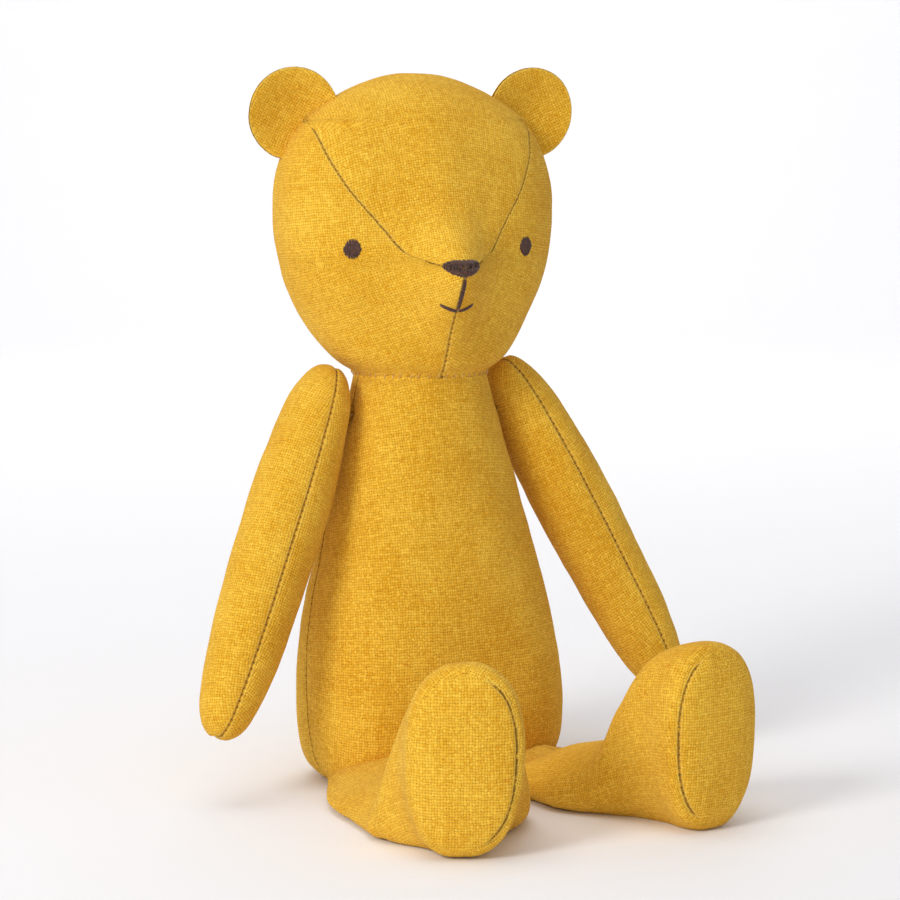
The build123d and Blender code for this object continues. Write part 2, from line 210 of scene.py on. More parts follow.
def flattened(points, rounds=500, stride=4):
    """Lays a curved panel flat the way cloth is cut, with the threads along its rows and columns.

    A coarse copy of the grid is relaxed until its edges have their true lengths, then it is read back.
    """
    rows, columns = points.shape[:2]
    row_at = np.unique(np.append(np.arange(0, rows, stride), rows - 1))
    column_at = np.unique(np.append(np.arange(0, columns, stride), columns - 1))
    coarse = points[np.ix_(row_at, column_at)]
    across = np.linalg.norm(np.diff(coarse, axis=1), axis=2)
    middle = len(column_at) // 2
    u = np.concatenate([np.zeros((len(row_at), 1)), np.cumsum(across, axis=1)], axis=1)
    u -= u[:, middle:middle + 1]
    down = np.linalg.norm(np.diff(coarse[:, middle], axis=0), axis=1)
    v = np.repeat(-np.concatenate([[0.0], np.cumsum(down)])[:, None], len(column_at), axis=1)
    flat = np.stack([u, v], axis=2)
    every, later, earlier = slice(None), slice(1, None), slice(None, -1)
    pairs = [
        ((every, later), (every, earlier)),
        ((later, every), (earlier, every)),
        ((later, later), (earlier, earlier)),
        ((later, earlier), (earlier, later)),
    ]
    lengths = [np.linalg.norm(coarse[a] - coarse[b], axis=2) for a, b in pairs]
    for _ in range(rounds):
        push = np.zeros_like(flat)
        for (a, b), length in zip(pairs, lengths):
            gap = flat[a] - flat[b]
            size = np.maximum(np.linalg.norm(gap, axis=2), 1e-9)
            move = gap * ((size - length) / size)[..., None]
            push[a] -= move
            push[b] += move
        flat += 0.11 * push
    flat = np.apply_along_axis(lambda line: np.interp(np.arange(rows), row_at, line), 0, flat)
    return np.apply_along_axis(lambda line: np.interp(np.arange(columns), column_at, line), 1, flat)


def faded(from_end):
    """Distance to add to a seam near its ends, so that it runs out softly."""
    return SEAM_WIDTH * (1 - smooth_step(from_end / SEAM_FADE))


class Panel:
    """One piece of cloth as a grid of points; the sides named in seams are sewn to something."""

    count = 0

    def __init__(self, points, seams, cloth=None, fading=()):
        self.points = points
        self.cloth = flattened(points) if cloth is None else cloth
        self.number = Panel.count
        Panel.count += 1
        rows, columns = points.shape[:2]
        along_rows = self.path(points, 1)
        along_columns = self.path(points, 0)
        choices = {
            "left": (along_rows, along_columns[:, :1].repeat(columns, 1)),
            "right": (along_rows[:, -1:] - along_rows, along_columns[:, -1:].repeat(columns, 1)),
            "top": (along_columns, along_rows[:1].repeat(rows, 0)),
            "bottom": (along_columns[-1:] - along_columns, along_rows[-1:].repeat(rows, 0)),
        }
        self.seam = np.full((rows, columns), 1.0)
        self.run = np.zeros((rows, columns))
        for name in seams:
            distance, run = choices[name]
            if name in fading:
                distance = distance + faded(np.minimum(run, run.max() - run))
            closer = distance < self.seam
            self.run[closer] = run[closer]
            self.seam = np.minimum(self.seam, distance)

    @staticmethod
    def path(points, axis):
        """Length walked along one axis of the grid."""
        steps = np.linalg.norm(np.diff(points, axis=axis), axis=2)
        start = np.zeros_like(np.take(steps, [0], axis=axis))
        return np.cumsum(np.concatenate([start, steps], axis=axis), axis=axis)


def sewn(name, panels):
    """One mesh from panels that share border points. It keeps cloth coordinates and seam distances."""
    verts = []
    seam = []
    run = []
    faces = []
    corners = []
    for panel in panels:
        rows, columns = panel.points.shape[:2]
        start = len(verts)
        verts.extend(map(tuple, panel.points.reshape(-1, 3)))
        seam.extend(panel.seam.ravel())
        run.extend(panel.run.ravel())
        cloth = panel.cloth.reshape(-1, 2)
        for i in range(rows - 1):
            for j in range(columns - 1):
                first = i * columns + j
                quad = [first, first + columns, first + columns + 1, first + 1]
                faces.append([start + k for k in quad])
                corners.extend((cloth[k][0], cloth[k][1], panel.number) for k in quad)
    mesh = bpy.data.meshes.new(name)
    mesh.from_pydata(verts, [], faces)
    layer = mesh.attributes.new("cloth", "FLOAT_VECTOR", "CORNER")
    layer.data.foreach_set("vector", np.array(corners, float).ravel())
    for key, values in (("seam", seam), ("run", run)):
        layer = mesh.attributes.new(key, "FLOAT", "POINT")
        layer.data.foreach_set("value", np.array(values, float))
    obj = placed(name, mesh)
    weld(obj)
    smooth(mesh)
    return obj


def placed(name, data):
    """A new object in the scene."""
    obj = bpy.data.objects.new(name, data)
    bpy.context.scene.collection.objects.link(obj)
    return obj


def smooth(mesh):
    mesh.polygons.foreach_set("use_smooth", [True] * len(mesh.polygons))


def dressed(skin, body, *replaced):
    """Gives a finished skin its cloth and, when a body is named, its body, in place of plain solids."""
    if body:
        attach(skin, body)
    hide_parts(*replaced)
    skin.data.materials.append(LINEN)
    return skin


def weld(obj):
    work = bmesh.new()
    work.from_mesh(obj.data)
    bmesh.ops.remove_doubles(work, verts=work.verts, dist=0.004 * MM)
    bmesh.ops.dissolve_degenerate(work, edges=work.edges, dist=0.002 * MM)
    bmesh.ops.recalc_face_normals(work, faces=work.faces)
    work.to_mesh(obj.data)
    work.free()


def write_points(obj, points):
    obj.data.vertices.foreach_set("co", points.ravel())
    obj.data.update()


def read_normals(obj):
    flat = np.empty(len(obj.data.vertices) * 3)
    obj.data.vertex_normals.foreach_get("vector", flat)
    return flat.reshape(-1, 3)


def read_layer(obj, name):
    values = np.empty(len(obj.data.vertices))
    obj.data.attributes[name].data.foreach_get("value", values)
    return values


def noise_at(points, size, seed):
    """Smooth noise between about -1 and 1 with features of the given size."""
    offset = Vector((seed * 7.3, seed * 3.1, seed * 5.7))
    return np.array([noise.noise(Vector(p) / size + offset) for p in points])


def sew_in(obj, depth=SEAM_DEPTH, puckers=1.0, lumps=0.0, seed=1):
    """Pulls the cloth into its seams, puckers it beside them and adds the stuffing's unevenness."""
    points = read_points(obj)
    normals = read_normals(obj)
    seam = read_layer(obj, "seam")
    run = read_layer(obj, "run")
    groove = depth * np.clip(1 - seam / SEAM_WIDTH, 0, 1) ** 2.2
    near = np.exp(-seam / PUCKER_REACH) * smooth_step(seam / (0.5 * SEAM_WIDTH))
    beside = np.stack([run / PUCKER_LENGTH, seam / (3 * PUCKER_LENGTH), 0 * run + seed], axis=1)
    pucker = np.array([noise.noise(Vector(p)) for p in beside])
    lump = noise_at(points, LUMP_SIZE, seed) + 0.45 * noise_at(points, 6 * MM, seed + 9)
    height = -groove + puckers * PUCKER_HEIGHT * near * pucker + lumps * lump
    write_points(obj, points + normals * height[:, None])


def stuffed(obj, voxel, cap, pressure=4.0, frames=20):
    """Blows the closed skin up as cloth, then gives the skin the creases and swells that result."""
    scene = bpy.context.scene
    copy = placed("stuffing_work", obj.data.copy())
    bpy.ops.object.select_all(action="DESELECT")
    bpy.context.view_layer.objects.active = copy
    copy.select_set(True)
    remesh = copy.modifiers.new("remesh", "REMESH")
    remesh.mode = "VOXEL"
    remesh.voxel_size = voxel
    bpy.ops.object.modifier_apply(modifier=remesh.name)
    before = read_points(copy)
    faces = [list(p.vertices) for p in copy.data.polygons]
    cloth = copy.modifiers.new("cloth", "CLOTH")
    settings = cloth.settings
    settings.use_pressure = True
    settings.uniform_pressure_force = pressure
    settings.effector_weights.gravity = 0
    settings.mass = 0.2
    settings.bending_stiffness = 0.4
    settings.tension_stiffness = 20
    settings.compression_stiffness = 20
    cloth.collision_settings.use_collision = False
    for step in range(1, frames + 1):
        scene.frame_set(step)
    shaped = copy.evaluated_get(bpy.context.evaluated_depsgraph_get())
    after = read_points(shaped)
    scene.frame_set(1)
    bpy.data.objects.remove(copy)
    move = after - before
    size = np.linalg.norm(move, axis=1)
    scale = np.minimum(1.0, cap / np.maximum(size, 1e-9))
    move *= scale[:, None]
    tree = BVHTree.FromPolygons([Vector(p) for p in before], faces)
    points = read_points(obj)
    shift = np.zeros_like(points)
    for i, p in enumerate(points):
        place, _, face, _ = tree.find_nearest(Vector(p))
        corners = faces[face]
        weights = poly_3d_calc([Vector(before[k]) for k in corners], place)
        shift[i] = sum(w * move[k] for w, k in zip(weights, corners))
    normals = read_normals(obj)
    swell = (shift * normals).sum(axis=1)
    shift -= normals * swell.mean()
    write_points(obj, points + shift)


# ---- tubes: body, arms, legs

def rows_round(surface, centres, forward, sideways, start, end, count):
    """A panel's points: round each centre, from the start angle to the end angle.

    Angle 0 lies along sideways and 90 degrees along forward.
    """
    angles = start + (end - start) * spaced(count)
    grid = np.empty((len(centres), count, 3))
    for i, centre in enumerate(centres):
        for j, angle in enumerate(angles):
            direction = math.cos(angle) * sideways + math.sin(angle) * forward
            tangent = -math.sin(angle) * sideways + math.cos(angle) * forward
            grid[i, j] = centre + surface.reach(centre, direction, tangent) * direction
    return grid


def capped(grid, first, last, steps):
    """A tube's panel, evened out, with rows at both ends that run in to one point."""
    grid = relaxed(grid)
    shares = [k / steps for k in range(steps)]
    start = [first + (grid[0] - first) * share for share in shares]
    end = [last + (grid[-1] - last) * share for share in shares[::-1]]
    return np.concatenate([np.array(start), grid, np.array(end)])


def shared_border(panel_a, column_a, panel_b, column_b):
    """Makes two tube panels meet exactly along one seam."""
    middle = (panel_a[:, column_a] + panel_b[:, column_b]) / 2
    panel_a[:, column_a] = middle
    panel_b[:, column_b] = middle


def torso_skin():
    surface = Surface("body_front", "body_back")
    neck = joint_place("head_turn")
    seam_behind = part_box("body_front")[1][1] - neck[1]
    top = neck[2] - 0.1 * MM
    rows = np.concatenate([[0.15, 0.5, 1.0, 1.6], np.arange(2.4, top / MM, 1.1), [top / MM]]) * MM
    centres = [np.array([0.0, neck[1] * z / neck[2] + seam_behind, z]) for z in rows]
    side = np.array([1.0, 0.0, 0.0])
    back = np.array([0.0, 1.0, 0.0])
    front_grid = rows_round(surface, centres, back, side, -math.pi, 0.0, 121)
    back_grid = rows_round(surface, centres, back, side, 0.0, math.pi, 121)
    shared_border(front_grid, -1, back_grid, 0)
    shared_border(front_grid, 0, back_grid, -1)
    for grid in (front_grid, back_grid):
        grid[-1, :, 2] = neck[2] + NECK_MEET
    seat = np.array([0.0, seam_behind, 0.35 * MM])
    throat = centres[-1] + NECK_MEET * UP
    grids = [capped(grid, seat, throat, 6)[::-1] for grid in (front_grid, back_grid)]
    skin = sewn("torso_skin", [Panel(grid, ("left", "right")) for grid in grids])
    rim = neck_rim(skin)
    stuffed(skin, voxel=4.5 * MM, cap=1.1 * MM)
    sew_in(skin, lumps=0.35 * MM, seed=3)
    put_back(skin, rim, NECK_LAP)
    return dressed(skin, "torso", "body_front", "body_back", "body_stuffing")


def neck_rim(skin):
    """Which of the skin's points lie on the neck seam."""
    height = joint_place("head_turn")[2] + NECK_MEET
    return np.abs(read_points(skin)[:, 2] - height) < 0.02 * MM


def put_back(skin, rim, lap):
    """Brings the rim back to the neck seam's height, plus a lap, so that no gap opens there."""
    points = read_points(skin)
    points[rim, 2] = joint_place("head_turn")[2] + NECK_MEET + lap
    write_points(skin, points)


def arm_frame(name):
    """Top, bottom, outward and forward of an arm, read from its panels."""
    points = node_points(f"{name}_outer", f"{name}_inner")
    middle = points.mean(axis=0)
    axes = np.linalg.svd((points - middle)[::7], full_matrices=False)[2]
    down = axes[0] if axes[0][2] < 0 else -axes[0]
    outward = node_points(f"{name}_outer").mean(axis=0) - node_points(f"{name}_inner").mean(axis=0)
    outward = unit(outward - down * (outward @ down))
    forward = unit(np.cross(down, outward))
    if forward[1] > 0:
        forward = -forward
    centre = middle
    for axis in (outward, forward):
        centre = centre + axis * middle_of((points - middle) @ axis)
    along = (points - middle) @ down
    return centre + down * along.min(), centre + down * along.max(), outward, forward


def arm_skin(name, seed):
    surface = Surface(f"{name}_outer", f"{name}_inner")
    top, bottom, outward, forward = arm_frame(name)
    length = np.linalg.norm(bottom - top)
    down = unit(bottom - top)
    rounded = 0.4 * MM
    rows = int(1.4 * (round((length - 2 * rounded) / (0.9 * MM)) + 1))
    centres = [top + down * s for s in rounded + (length - 2 * rounded) * spaced(rows)]
    outer = rows_round(surface, centres, forward, outward, math.pi / 2, -math.pi / 2, 81)
    inner = rows_round(surface, centres, forward, outward, math.pi / 2, 3 * math.pi / 2, 81)
    shared_border(outer, 0, inner, 0)
    shared_border(outer, -1, inner, -1)
    grids = [capped(grid, top, bottom, 3) for grid in (outer, inner)]
    skin = sewn(f"{name}_skin", [Panel(grid, ("left", "right")) for grid in grids])
    stuffed(skin, voxel=3.2 * MM, cap=0.8 * MM)
    sew_in(skin, lumps=0.3 * MM, puckers=1.2, seed=seed)
    return dressed(skin, name, f"{name}_outer", f"{name}_inner", f"{name}_stuffing")


class Spine:
    """A leg's middle line in plan: it leaves the hip along the leg and arrives square to the sole."""

    def __init__(self, name):
        self.hip = joint_place(f"{name}_fold") * np.array([1.0, 1.0, 0.0])
        panels = node_points(f"{name}_outer", f"{name}_inner")
        sole = node_points(f"{name}_sole")
        self.start = np.array([0.0, -1.0, 0.0])
        for _ in range(4):
            shin = panels[np.abs((panels - self.hip) @ self.start - 20 * MM) < 1.5 * MM]
            self.start = self.level(middle_of(shin) - self.hip)
        thin = np.linalg.svd((sole - sole.mean(axis=0))[::5], full_matrices=False)[2][2]
        self.end = self.level(thin if thin @ self.start > 0 else -thin)
        seam = ((sole - self.hip) @ self.end).min() - 0.04 * MM
        rim = sole[(sole - self.hip) @ self.end < seam + 0.5 * MM]
        self.goal = middle_of(rim) * np.array([1.0, 1.0, 0.0])
        self.goal = self.goal + self.end * (seam - (self.goal - self.hip) @ self.end)
        sides = np.array([[self.start[0], self.end[0]], [self.start[1], self.end[1]]])
        gap = (self.goal - self.hip)[:2]
        if abs(np.linalg.det(sides)) > 0.1:
            self.bend = self.hip + self.start * np.linalg.solve(sides, gap)[0]
        else:
            self.bend = (self.hip + self.goal) / 2
        self.length = np.linalg.norm(self.goal - self.hip)

    @staticmethod
    def level(v):
        return unit([v[0], v[1], 0.0])

    def at(self, share):
        """Place and heading at a share of the way from the hip to the sole's seam."""
        t = share
        place = (1 - t) ** 2 * self.hip + 2 * t * (1 - t) * self.bend + t * t * self.goal
        turn = smooth_step((t - 0.35) / 0.6)
        return place, unit(self.start * (1 - turn) + self.end * turn)


def settled(row, centre, across, share):
    """Lets a leg rest on the floor: it sinks beside the body and its cloth spreads out low down."""
    low = row[:, 2].min()
    rise = row[:, 2] - low
    side = (row - centre) @ across
    out = LEG_SPREAD_OUT * (1 - 0.9 * smooth_step((share - 0.5) / 0.5))
    inward = LEG_SPREAD_IN * (1 - smooth_step((share - 0.4) / 0.4))
    spread = np.where(side > 0, out, inward) * (1 - rise / rise.max()) ** 1.2
    spread *= np.clip(np.abs(side) / (2.5 * MM), 0, 1) * np.sign(side)
    row = row + across * spread[:, None]
    row[:, 2] = low + rise * (1 - LEG_SINK * (1 - smooth_step((share - 0.1) / 0.7)))
    return row


def leg_skin(name, seed):
    surface = Surface(f"{name}_outer", f"{name}_inner", f"{name}_sole")
    torso = Surface("body_front", "body_back")
    hip = joint_place(f"{name}_fold")
    spine = Spine(name)
    panel_points = node_points(f"{name}_outer", f"{name}_inner")
    full = 9.0 * MM / spine.length  # where the leg stands clear of the body
    near_sole = 1 - np.array([2.0, 1.5, 1.0, 0.6, 0.3, 0.12]) * MM / spine.length
    shares = np.concatenate([np.arange(full, near_sole[0] - 0.004, 0.8 * MM / spine.length), near_sole])
    outward = unit(np.array([hip[0], 0.0, 0.0]))
    halves = ((math.pi / 2, -math.pi / 2), (math.pi / 2, 3 * math.pi / 2))
    rows = [[], []]
    for share in shares:
        place, heading = spine.at(share)
        across = np.cross(UP, heading)
        if across @ outward < 0:
            across = -across
        offset = (panel_points - place) @ heading
        near = panel_points[np.abs(offset) < 0.9 * MM]
        near = near[np.abs((near - place) @ across) < 20 * MM]
        centre = place + UP * middle_of(near)[2]
        for half, (start, end) in enumerate(halves):
            row = rows_round(surface, [centre], UP, across, start, end, 71)[0]
            rows[half].append(settled(row, centre, across, share))
    outer, inner = (np.array(half) for half in rows)
    shared_border(outer, 0, inner, 0)
    shared_border(outer, -1, inner, -1)
    sole_ring = np.concatenate([outer[-1], inner[-1][-2::-1]])
    dome = Dome(surface, sole_ring, spine.end)
    grids = [dome.wrapped(relaxed(grid)) for grid in (outer, inner)]
    grids = [sewn_to_body(grid, torso, hip, spine.start, outward) for grid in grids]
    panels = [
        Panel(grids[0], ("right", "top"), fading=("right",)),
        Panel(grids[1], ("right", "bottom", "top"), fading=("right", "bottom")),
        dome.sole(sole_ring, outer.shape[1]),
    ]
    skin = sewn(f"{name}_skin", panels)
    stuffed(skin, voxel=3.6 * MM, cap=0.8 * MM)
    sew_in(skin, depth=LIMB_SEAM_DEPTH, lumps=0.3 * MM, puckers=1.2, seed=seed)
    root = hip - 2 * MM * spine.start
    tuple(root + 11 * MM * spine.start)
    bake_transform(skin)
    return dressed(skin, None, *(f"{name}_{part}" for part in ("outer", "inner", "stuffing", "sole")))


def sewn_to_body(grid, torso, hip, ahead, outward):
    """Rows that lead a leg panel back to the body: to its front and, outside, to its lower corner."""
    first = grid[0]
    side = (first - hip) @ outward
    to_corner = smooth_step((side - 3 * MM) / (24 * MM))[:, None]
    root = np.empty_like(first)
    for j, p in enumerate(first):
        start = np.array([p[0], p[1], max(0.6 * MM, p[2])]) - outward * 0.4 * max(0.0, side[j] - 3 * MM)
        hit = torso.tree.ray_cast(Vector(start), Vector(-ahead), 0.06)
        distance = hit[3] if hit[0] is not None else 20 * MM
        root[j] = start - ahead * (distance + 1.0 * MM)
        level = UP * (1.0 * MM + 0.3 * p[2])
        corner = torso.reach(level, outward, ahead) * outward + level - 0.5 * MM * outward
        root[j] += (corner - root[j]) * to_corner[j]
    slope = (grid[2] - grid[0]) / np.linalg.norm(grid[2] - grid[0], axis=1)[:, None]
    reach = np.linalg.norm(first - root, axis=1)[:, None]
    leave = UP * np.clip((first[:, 2:3] - root[:, 2:3]) / (4 * MM), -0.7, 0.7) + ahead * 0.7
    leave += (0.35 * outward + 0.9 * ahead - leave) * to_corner
    rows = [between(root, 0.8 * reach * leave, first, 0.8 * reach * slope, k / 18) for k in range(18)]
    return np.concatenate([np.array(rows), grid])


def between(start, leave, end, arrive, t):
    """Place at share t on a curve with given ends and directions there."""
    ends = (2 * t**3 - 3 * t**2 + 1) * start + (3 * t**2 - 2 * t**3) * end
    return ends + (t**3 - 2 * t**2 + t) * leave + (t**3 - t**2) * arrive


class Dome:
    """The rounded end of a foot: the leg's cloth wraps over its edge and the sole is sewn in there."""

    def __init__(self, surface, ring, ahead):
        self.middle = middle_of(ring)
        self.ahead = ahead
        hit = surface.tree.ray_cast(Vector(self.middle + 0.1 * ahead), Vector(-ahead), 0.2)
        self.rise = (np.array(hit[0]) - self.middle) @ ahead

    def at(self, row, share):
        """The row drawn in to a share of its size, at the dome's height there."""
        lift = self.rise * (1 - share**SOLE_FLATNESS) ** SOLE_ROUNDNESS
        return self.middle + (row - self.middle) * share + self.ahead * lift

    def wrapped(self, grid):
        """A leg panel with rows added that take it from the foot's widest section to the sole's seam."""
        shares = np.array([0.99, 0.975, 0.955, 0.93, SOLE_SHARE])
        return np.concatenate([grid, np.array([self.at(grid[-1], share) for share in shares])])

    def sole(self, ring, outer_columns):
        """The oval sole as rings, from its seam to the middle. Its outer edge lies smooth."""
        shares = SOLE_SHARE * (1 - np.linspace(0.0, 1.0, 34) ** 1.7)
        grid = np.array([self.at(ring, share) for share in shares])
        outward = np.cross(UP, self.ahead)
        cloth = np.stack([(grid - self.middle) @ outward, (grid - self.middle) @ UP], axis=2)
        panel = Panel(grid, ("top",), cloth=cloth)
        run = panel.run[0]
        inside = np.minimum(run - run[outer_columns - 1], run[-1] - run)
        panel.seam = panel.seam + faded(inside)
        return panel


# ---- head

class HeadFrame:
    """The head's own directions at rest: the eyes say which way it looks."""

    def __init__(self):
        self.neck = joint_place("head_turn")
        across = node_middle("eye_left") - node_middle("eye_right")
        across[2] = 0.0
        self.side = unit(across)
        self.ahead = unit(np.cross(self.side, UP))
        points = node_points("face_left", "face_right", "head_gusset")
        self.setback = middle_of((points - self.neck) @ self.ahead) - 4.0 * MM

    def axis_at(self, z):
        """A point on the head's upright middle line."""
        shift = min(self.setback, 0.0) * smooth_step((z - self.neck[2]) / (20 * MM))
        return np.array([self.neck[0], self.neck[1], z]) + shift * self.ahead

    def look(self, angle):
        """Direction at an angle from straight ahead, positive towards the head's left."""
        return math.cos(angle) * self.ahead + math.sin(angle) * self.side


def seam_angle(surface, head, z, side, from_back):
    """Angle at which the gusset gives way to a side panel, or None without a gusset at height z."""
    centre = head.axis_at(z)
    turns = np.linspace(0.0, math.radians(130), 261)
    previous = None
    for turn in turns:
        angle = side * ((math.pi - turn) if from_back else turn)
        node = surface.node_at(centre, head.look(angle))
        if node is None:
            continue
        if node != "head_gusset":
            return turn if previous is not None else None
        previous = turn
    return None


def smoothed(values, passes=6):
    values = np.array(values, float)
    for _ in range(passes):
        values[1:-1] = (values[:-2] + 2 * values[1:-1] + values[2:]) / 4
    return values


def head_row(surface, head, z, angles):
    centre = head.axis_at(z)
    row = np.empty((len(angles), 3))
    for j, angle in enumerate(angles):
        direction = head.look(angle)
        tangent = head.look(angle + math.pi / 2)
        row[j] = centre + surface.reach(centre, direction, tangent) * direction
    return row


def down_to_neck(grid, head):
    """Rows added below the lowest one, which lead it to the round neck seam."""
    first = grid[0]
    out = (first - head.neck) * np.array([1.0, 1.0, 0.0])
    rim = head.neck + NECK_RADIUS * out / np.linalg.norm(out, axis=1)[:, None] + NECK_MEET * UP
    return np.concatenate([np.array([rim + (first - rim) * share for share in (0.0, 0.3, 0.65)]), grid])


def head_skin():
    surface = Surface("face_left", "face_right", "head_gusset")
    head = HeadFrame()
    nose_low, nose_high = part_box("nose")
    tip = 0.6 * nose_low[2] + 0.4 * nose_high[2]
    bottom = head.neck[2] / MM + 1.7
    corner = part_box("face_left")[1][2] - 0.6 * MM
    chin = np.concatenate([[bottom, bottom + 0.5], np.arange(bottom + 1.2, tip / MM, 1.1)]) * MM
    ramp = tip + np.array([0.0, 0.25, 0.5, 0.8, 1.2, 1.7, 2.4]) * MM
    upper = np.append(np.arange(tip + 3.3 * MM, corner - 0.8 * MM, 1.1 * MM), corner)
    zs = np.concatenate([chin, ramp, upper])
    front_angles, back_angles = gusset_edges(surface, head, zs, tip)
    panels = []
    for side in (1, -1):
        rows = []
        for i, z in enumerate(zs):
            start = front_angles[side][i]
            end = math.pi - back_angles[side][i]
            angles = side * (start + (end - start) * spaced(91))
            rows.append(head_row(surface, head, z, angles))
        grid = relaxed(down_to_neck(np.array(rows), head))[::-1]
        panels.append(Panel(grid, ("left", "right")))
    panels.append(gusset_panel(surface, head, zs, tip, front_angles, back_angles))
    skin = sewn("head_skin", panels)
    close_neck(skin)
    rim = neck_rim(skin)
    stuffed(skin, voxel=4.5 * MM, cap=1.0 * MM)
    sew_in(skin, depth=0.45 * SEAM_DEPTH, puckers=0.7, lumps=0.3 * MM, seed=11)
    put_back(skin, rim, -NECK_LAP)
    return dressed(skin, "head", "face_left", "face_right", "head_gusset", "head_stuffing")


def gusset_edges(surface, head, zs, tip):
    """Angles of the gusset's edges at each height, per side: from straight ahead and from behind."""
    front_angles = {}
    back_angles = {}
    for side in (1, -1):
        front = [seam_angle(surface, head, z, side, False) if z > tip + 1.0 * MM else 0.0 for z in zs]
        back = [seam_angle(surface, head, z, side, True) for z in zs]
        first = next(v for v in front if v)
        front = [first if v is None else v for v in front]
        for i, z in enumerate(zs):
            if tip <= z <= tip + GUSSET_START:
                front[i] = first * math.sqrt(smooth_step((z - tip) / GUSSET_START))
        lowest = next(v for v in back if v is not None)
        back = smoothed([lowest if v is None else v for v in back])
        front[-1] = (front[-1] + math.pi - back[-1]) / 2
        back[-1] = math.pi - front[-1]
        front_angles[side] = front
        back_angles[side] = back
    return front_angles, back_angles


def gusset_panel(surface, head, zs, tip, front_angles, back_angles):
    """The long panel from the nose over the crown to the nape."""
    count = 81
    rows = []
    above = [i for i, z in enumerate(zs) if z >= tip]
    for i in above:
        left = front_angles[1][i]
        right = -front_angles[-1][i]
        rows.append(head_row(surface, head, zs[i], right + (left - right) * spaced(count)))
    ear_left = rows[-1][-1].copy()
    ear_right = rows[-1][0].copy()
    for lift in np.linspace(0.0, math.pi, 64)[1:-1]:
        direction = math.cos(lift) * head.ahead + math.sin(lift) * UP
        tangent = -math.sin(lift) * head.ahead + math.cos(lift) * UP
        row = np.empty((count, 3))
        for j, share in enumerate(spaced(count)):
            origin = ear_right + (ear_left - ear_right) * share
            row[j] = origin + surface.reach(origin, direction, tangent) * direction
        row[0] = ear_right
        row[-1] = ear_left
        rows.append(row)
    for i in range(len(zs) - 1, -1, -1):
        left = math.pi - back_angles[1][i]
        right = math.pi + back_angles[-1][i]
        rows.append(head_row(surface, head, zs[i], right + (left - right) * spaced(count)))
    grid = relaxed(down_to_neck(np.array(rows)[::-1], head))
    return Panel(grid, ("left", "right"))


def close_neck(skin):
    """Closes the head under its neck seam."""
    work = bmesh.new()
    work.from_mesh(skin.data)
    rim = [e for e in work.edges if e.is_boundary]
    bmesh.ops.holes_fill(work, edges=rim, sides=0)
    flat = [f for f in work.faces if len(f.verts) > 4]
    bmesh.ops.poke(work, faces=flat)
    bmesh.ops.recalc_face_normals(work, faces=work.faces)
    work.to_mesh(skin.data)
    work.free()


# ---- ears

def ear_skin(name, seed):
    """A puffed ear, cupped forward, its two panels sewn together round the rim."""
    points = node_points(f"ear_{name}_front", f"ear_{name}_back")
    front = node_points(f"ear_{name}_front").mean(axis=0)
    back = node_points(f"ear_{name}_back").mean(axis=0)
    across = points - points.mean(axis=0)
    thin = np.linalg.svd(across[::3], full_matrices=False)[2][2]
    ahead = unit(thin if thin @ (front - back) > 0 else -thin)
    side = unit(np.cross(UP, ahead))
    if side[0] * (1 if name == "left" else -1) < 0:
        side = -side
    rise = unit(np.cross(ahead, side))
    if rise[2] < 0:
        rise = -rise
    centre = points.mean(axis=0)
    for axis in (rise, side):
        centre = centre + axis * ((across @ axis).max() - EAR_RADIUS)
    shares = np.sin(np.linspace(0, math.pi / 2, 26))[::-1, None]
    turns = np.linspace(0, 2 * math.pi, 97)[None, :]
    s = EAR_RADIUS * shares * np.cos(turns)
    r = EAR_RADIUS * shares * np.sin(turns)
    panels = []
    for facing, fullness, bend in ((1, 0.6, 1.0), (-1, 1.0, 0.75)):
        puff = facing * fullness * EAR_HALF_THICKNESS * np.sqrt(np.maximum(0.0, 1 - shares**2.6))
        height = puff + bend * EAR_CUP * (shares**2 - 0.45) + EAR_LEAN * r
        grid = centre + s[..., None] * side + r[..., None] * rise + height[..., None] * ahead
        u = (grid - centre) @ side
        v = (grid - centre) @ rise
        cloth = np.stack([0.9 * u + 0.44 * v, -0.44 * u + 0.9 * v], axis=2)
        panels.append(Panel(grid, ("top",), cloth=cloth))
    skin = sewn(f"ear_{name}_skin", panels)
    sew_in(skin, depth=0.3 * SEAM_DEPTH, puckers=0.8, lumps=0.25 * MM, seed=seed)
    return dressed(skin, "head", *(f"ear_{name}_{part}" for part in ("front", "back", "padding")))


# ---- embroidery and sewing thread

def strands(name, paths, radius, body, material, sides=7, taper=0.35):
    """Threads as thin round tubes that narrow where they dive into the cloth."""
    verts = []
    faces = []
    for path in paths:
        path = np.asarray(path, float)
        tangents = np.gradient(path, axis=0)
        start = len(verts)
        last = len(path) - 1
        for i, (p, t) in enumerate(zip(path, tangents)):
            t = unit(t)
            helper = UP if abs(t @ UP) < 0.8 else np.array([1.0, 0.0, 0.0])
            a = unit(np.cross(t, helper))
            b = np.cross(t, a)
            edge = min(i, last - i) / max(1, last)
            r = radius * (taper + (1 - taper) * min(1.0, edge * 5))
            for k in range(sides):
                turn = 2 * math.pi * k / sides
                verts.append(p + r * (math.cos(turn) * a + math.sin(turn) * b))
        for i in range(last):
            for k in range(sides):
                n = (k + 1) % sides
                ring = start + i * sides
                faces.append((ring + k, ring + n, ring + sides + n, ring + sides + k))
        faces.append(tuple(start + k for k in range(sides))[::-1])
        faces.append(tuple(start + last * sides + k for k in range(sides)))
    mesh = bpy.data.meshes.new(name)
    mesh.from_pydata([tuple(v) for v in verts], [], faces)
    smooth(mesh)
    mesh.materials.append(material)
    obj = placed(name, mesh)
    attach(obj, body)
    return obj


